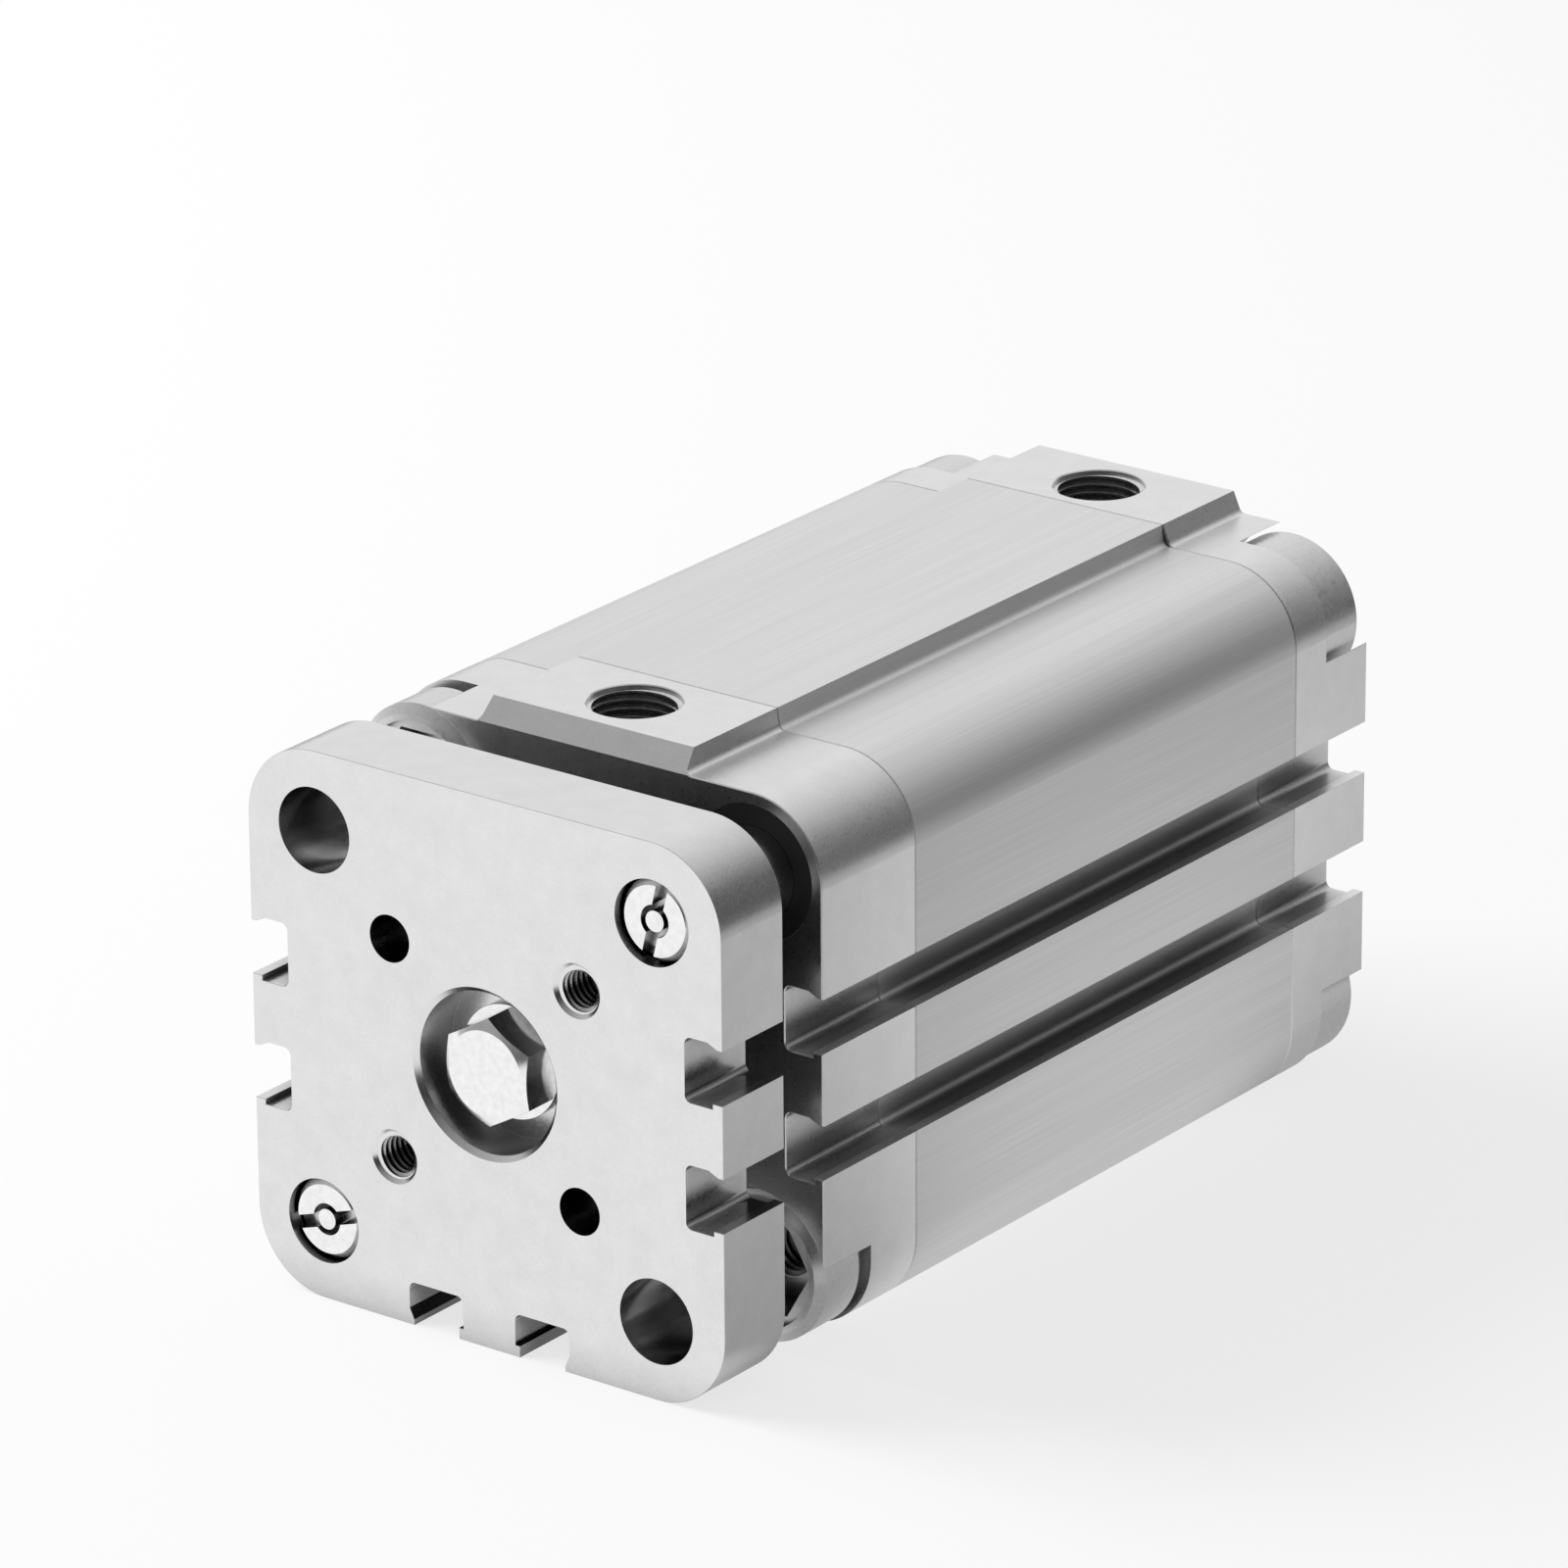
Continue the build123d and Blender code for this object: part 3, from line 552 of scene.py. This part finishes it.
def bright_steel(name, hex_colour, roughness, mark_spacing, recess_depth):
    """Smooth steel with fine marks and painted shade in its slots and sockets."""
    material, tree = start_material(name)
    spot = add_node(tree, "ShaderNodeTexCoord").outputs["Object"]
    marks = add_node(tree, "ShaderNodeTexNoise", {"Vector": spot, "Scale": 1 / mark_spacing, "Detail": 3.0})
    shade = add_node(
        tree, "ShaderNodeMapRange",
        {"Value": marks.outputs["Fac"], "From Min": NOISE_LOW, "From Max": NOISE_HIGH,
         "To Min": STEEL_SHADES[0], "To Max": STEEL_SHADES[1]},
    )
    colour = add_node(
        tree, "ShaderNodeMix", {"Factor": 1.0, "A": linear(hex_colour), "B": shade.outputs["Result"]},
        data_type="RGBA", blend_type="MULTIPLY",
    )
    # Painted shade in the slots and sockets.
    colour = painted_recess_shade(tree, colour.outputs["Result"], recess_depth)
    dullness = add_node(
        tree, "ShaderNodeMapRange",
        {"Value": marks.outputs["Fac"], "From Min": NOISE_LOW, "From Max": NOISE_HIGH,
         "To Min": roughness + STEEL_DULLNESS[0], "To Max": roughness + STEEL_DULLNESS[1]},
    )
    rounded = add_node(tree, "ShaderNodeBevel", {"Radius": EDGE_ROUNDING}, samples=EDGE_SAMPLES)
    surface = add_node(
        tree, "ShaderNodeBsdfPrincipled",
        {"Base Color": colour.outputs["Result"], "Metallic": 1.0, "Roughness": dullness.outputs["Result"],
         "Normal": rounded.outputs["Normal"]},
    )
    add_node(tree, "ShaderNodeOutputMaterial", {"Surface": surface.outputs[0]})
    return material


screw_finish = bright_steel(
    "bright zinc plated steel", "#F4F4F4", roughness=0.16, mark_spacing=0.8 * MM, recess_depth=2.5 * MM,
)
collar_finish = bright_steel(
    "zinc plated collar screw steel", "#E0E0E0", roughness=0.30, mark_spacing=0.5 * MM,
    recess_depth=9.0 * MM,
)
piston_rod_finish = bright_steel(
    "rolled stainless steel", "#D2D2D0", roughness=0.14, mark_spacing=1.0 * MM, recess_depth=8.0 * MM,
)
guide_rod_finish = bright_steel(
    "ground guide rod steel", "#C9C9C8", roughness=0.20, mark_spacing=0.4 * MM, recess_depth=8.0 * MM,
)
piston_finish = bright_steel(
    "turned aluminium", "#D6D6D6", roughness=0.30, mark_spacing=0.4 * MM, recess_depth=8.0 * MM,
)
bronze_finish = bright_steel(
    "sintered bronze", "#B08D57", roughness=0.45, mark_spacing=0.2 * MM, recess_depth=8.0 * MM,
)
cut_thread_finish = bright_steel(
    "aluminium thread, cut bright", "#DCDCDC", roughness=0.22, mark_spacing=0.4 * MM,
    recess_depth=0.3 * MM,
)
print("finish of the screws:", screw_finish.name)

# %% [markdown]
# Seals and wipers are black nitrile rubber, the cushion rings are polyurethane, the magnet is bonded ferrite
# and the wear ring is acetal. None of them is metal, so each has a colour of its own and only a faint gloss.
# The mould leaves a soft grain on them, which is drawn a few tenths of a millimetre wide so that it shows.

# %% Rubber and plastics
MOULDED_SHADES = (0.85, 1.1)
MOULDED_DENTS = 0.02 * MM
MOULDED_RELIEF = 0.2


def moulded(name, hex_colour, roughness, grain_size):
    """Moulded rubber, plastic or bonded powder with a faint grain."""
    material, tree = start_material(name)
    spot = add_node(tree, "ShaderNodeTexCoord").outputs["Object"]
    grain = add_node(tree, "ShaderNodeTexNoise", {"Vector": spot, "Scale": 1 / grain_size, "Detail": 2.0})
    shade = add_node(
        tree, "ShaderNodeMapRange",
        {"Value": grain.outputs["Fac"], "From Min": NOISE_LOW, "From Max": NOISE_HIGH,
         "To Min": MOULDED_SHADES[0], "To Max": MOULDED_SHADES[1]},
    )
    colour = add_node(
        tree, "ShaderNodeMix", {"Factor": 1.0, "A": linear(hex_colour), "B": shade.outputs["Result"]},
        data_type="RGBA", blend_type="MULTIPLY",
    )
    relief = add_node(
        tree, "ShaderNodeBump",
        {"Strength": MOULDED_RELIEF, "Distance": MOULDED_DENTS, "Height": grain.outputs["Fac"]},
    )
    surface = add_node(
        tree, "ShaderNodeBsdfPrincipled",
        {"Base Color": colour.outputs["Result"], "Roughness": roughness,
         "Normal": relief.outputs["Normal"]},
    )
    add_node(tree, "ShaderNodeOutputMaterial", {"Surface": surface.outputs[0]})
    return material


rubber_finish = moulded("black nitrile rubber", "#1C1C1D", roughness=0.55, grain_size=0.3 * MM)
cushion_finish = moulded("polyurethane", "#3A3A3C", roughness=0.45, grain_size=0.4 * MM)
magnet_finish = moulded("bonded ferrite", "#2B2A2A", roughness=0.60, grain_size=0.2 * MM)
wear_ring_finish = moulded("acetal", "#E9E7DF", roughness=0.40, grain_size=0.4 * MM)
print("finish of the seals:", rubber_finish.name)

# %% [markdown]
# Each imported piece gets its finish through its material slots. The pieces that the list doesn't name are
# seals and O-rings, so they are rubber.

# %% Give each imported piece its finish
finish_of = {
    "yoke_plate": plate_finish,
    "bearing_cap": cap_finish,
    "rear_cap": cap_finish,
    "barrel": barrel_finish,
    "yoke_bolt": screw_finish,
    "yoke_washer": screw_finish,
    "guide_rod_screw_upper": screw_finish,
    "guide_rod_screw_lower": screw_finish,
    "piston_nut": screw_finish,
    "front_collar_screws": collar_finish,
    "rear_collar_screws": collar_finish,
    "piston_rod": piston_rod_finish,
    "guide_rod_upper": guide_rod_finish,
    "guide_rod_lower": guide_rod_finish,
    "piston_front": piston_finish,
    "piston_rear": piston_finish,
    "rod_bush": bronze_finish,
    "guide_bush_upper": bronze_finish,
    "guide_bush_lower": bronze_finish,
    "front_cushion_ring": cushion_finish,
    "rear_cushion_ring": cushion_finish,
    "piston_magnet": magnet_finish,
    "piston_wear_ring": wear_ring_finish,
}
for name, piece in nodes.items():
    for slot in piece.material_slots:
        slot.material = finish_of.get(name, rubber_finish)
print("finished pieces:", len(finish_of), "rubber pieces:", len(nodes) - len(finish_of))

# %% [markdown]
# A tapped hole shows its thread as a spiral of ridges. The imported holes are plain, at the thread's outer
# diameter, so each ridge is added here: one tooth of the thread is spun round the hole and rises by one pitch
# in each turn. Its root is sunk a little into the hole's wall. The spiral starts before the mouth and runs on
# past its last turn, and cutting it flat at both ends leaves the hole's mouth clean.

# %% Thread ridge
STEPS_PER_TURN = 40
ROOT_SINK = 0.03 * MM
THREAD_DEPTH = 0.61
TOOTH_ROOT = (0.02, 0.98)
TOOTH_CREST = (0.60, 0.40)
LEAD_IN = 1.5
SPARE_TURNS = 3
CUT_TOLERANCE = 1e-7


def thread_ridge(name, mouth, outward, major_radius, pitch, length, finish, body):
    """Spiral ridge inside a hole, from its mouth inwards. The mouth is in millimetres."""
    minor_radius = major_radius - THREAD_DEPTH * pitch
    root_radius = major_radius + ROOT_SINK
    turns = int(length / pitch) + SPARE_TURNS
    bm = bmesh.new()
    tooth = [(root_radius, share) for share in TOOTH_ROOT] + [(minor_radius, share) for share in TOOTH_CREST]
    corners = [bm.verts.new((radius, 0, (share - LEAD_IN) * pitch)) for radius, share in tooth]
    face = bm.faces.new(corners)
    bmesh.ops.spin(
        bm, geom=[face, *face.edges, *corners], cent=(0, 0, 0), axis=(0, 0, 1),
        dvec=(0, 0, pitch / STEPS_PER_TURN), angle=2 * pi * turns, steps=turns * STEPS_PER_TURN,
        use_merge=False,
    )
    for height, facing in ((0.0, -1), (length, 1)):
        cut = bmesh.ops.bisect_plane(
            bm, geom=bm.verts[:] + bm.edges[:] + bm.faces[:], dist=CUT_TOLERANCE,
            plane_co=(0, 0, height), plane_no=(0, 0, facing), clear_outer=True,
        )
        rims = [part for part in cut["geom_cut"] if isinstance(part, bmesh.types.BMEdge)]
        bmesh.ops.holes_fill(bm, edges=rims, sides=0)
    bmesh.ops.recalc_face_normals(bm, faces=bm.faces)
    inward = -Vector(outward)
    turned = inward.to_track_quat("Z", "Y").to_matrix().to_4x4()
    bmesh.ops.transform(bm, matrix=turned, verts=bm.verts)
    bmesh.ops.translate(bm, vec=Vector(mouth) * MM, verts=bm.verts)
    open_edges = sum(1 for edge in bm.edges if not edge.is_manifold)
    mesh = bpy.data.meshes.new(name)
    bm.to_mesh(mesh)
    bm.free()
    mesh.materials.append(finish)
    piece = bpy.data.objects.new(name, mesh)
    scene.collection.objects.link(piece)
    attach(piece, body)
    print(name, "faces:", len(mesh.polygons), "open edges:", open_edges)


print("steps in one turn of a ridge:", STEPS_PER_TURN)

# %% [markdown]
# The air comes in through two G1/8 ports, tapped into the pads on top of the caps. Their threads were cut
# after the cap was anodised, so they shine a little more than the pad. A small chamfer leads into each hole,
# and the ridge starts a little below the pad.

# %% Threads of the two ports
PORT_RADIUS = 4.865 * MM
PORT_PITCH = 0.907 * MM
PORT_LENGTH = 7.6 * MM
PORT_BELOW_PAD = 0.45
PORT_PLACES = {"front": -86.6, "rear": -6.9}

port_mouth = cad_high.z / MM - PORT_BELOW_PAD
for end, y in PORT_PLACES.items():
    thread_ridge(f"port_thread_{end}", (0, y, port_mouth), (0, 0, 1), PORT_RADIUS, PORT_PITCH,
                 PORT_LENGTH, cut_thread_finish, "cylinder_body")
print("port threads start at z in mm:", round(port_mouth, 2))

# %% [markdown]
# The plate has two M5 holes on a circle of 33 mm, where the machine's own tool is screwed on. They move with
# the plate, so their ridges ride on the yoke.

# %% Threads of the plate
TOOL_RADIUS = 2.5 * MM
TOOL_PITCH = 0.8 * MM
TOOL_LENGTH = 9.35 * MM
TOOL_MOUTH = -111.0
TOOL_CIRCLE = 33.0

tool_offset = TOOL_CIRCLE / 2 * 2**-0.5
for height, sign in (("upper", 1), ("lower", -1)):
    mouth = (sign * tool_offset, TOOL_MOUTH, sign * tool_offset)
    thread_ridge(f"tool_thread_{height}", mouth, (0, -1, 0), TOOL_RADIUS, TOOL_PITCH,
                 TOOL_LENGTH, plate_finish, "yoke")
print("plate threads beside the axis by mm:", round(tool_offset, 2))

# %% [markdown]
# The collar screws that hold the caps are hollow, with an M6 thread right through, so that the cylinder can
# be bolted on at either end. Four of them sit in the rear cap. In front there are only two, because the guide
# rods take the other two corners.

# %% Threads of the collar screws
COLLAR_RADIUS = 3.0 * MM
COLLAR_PITCH = 1.0 * MM
REAR_MOUTH = -6.7
REAR_LENGTH = 18.4 * MM
FRONT_MOUTH = -89.9
FRONT_LENGTH = 22.0 * MM
CORNERS = {
    "upper_left": (-21, 21),
    "lower_right": (21, -21),
    "upper_right": (21, 21),
    "lower_left": (-21, -21),
}
FRONT_CORNERS = ("upper_left", "lower_right")

for end, corners, mouth_y, outward, length in (
    ("rear", CORNERS, REAR_MOUTH, (0, 1, 0), REAR_LENGTH),
    ("front", FRONT_CORNERS, FRONT_MOUTH, (0, -1, 0), FRONT_LENGTH),
):
    for corner in corners:
        x, z = CORNERS[corner]
        thread_ridge(f"{end}_collar_thread_{corner}", (x, mouth_y, z), outward, COLLAR_RADIUS,
                     COLLAR_PITCH, length, collar_finish, "cylinder_body")
print("collar threads:", len(CORNERS) + len(FRONT_CORNERS))
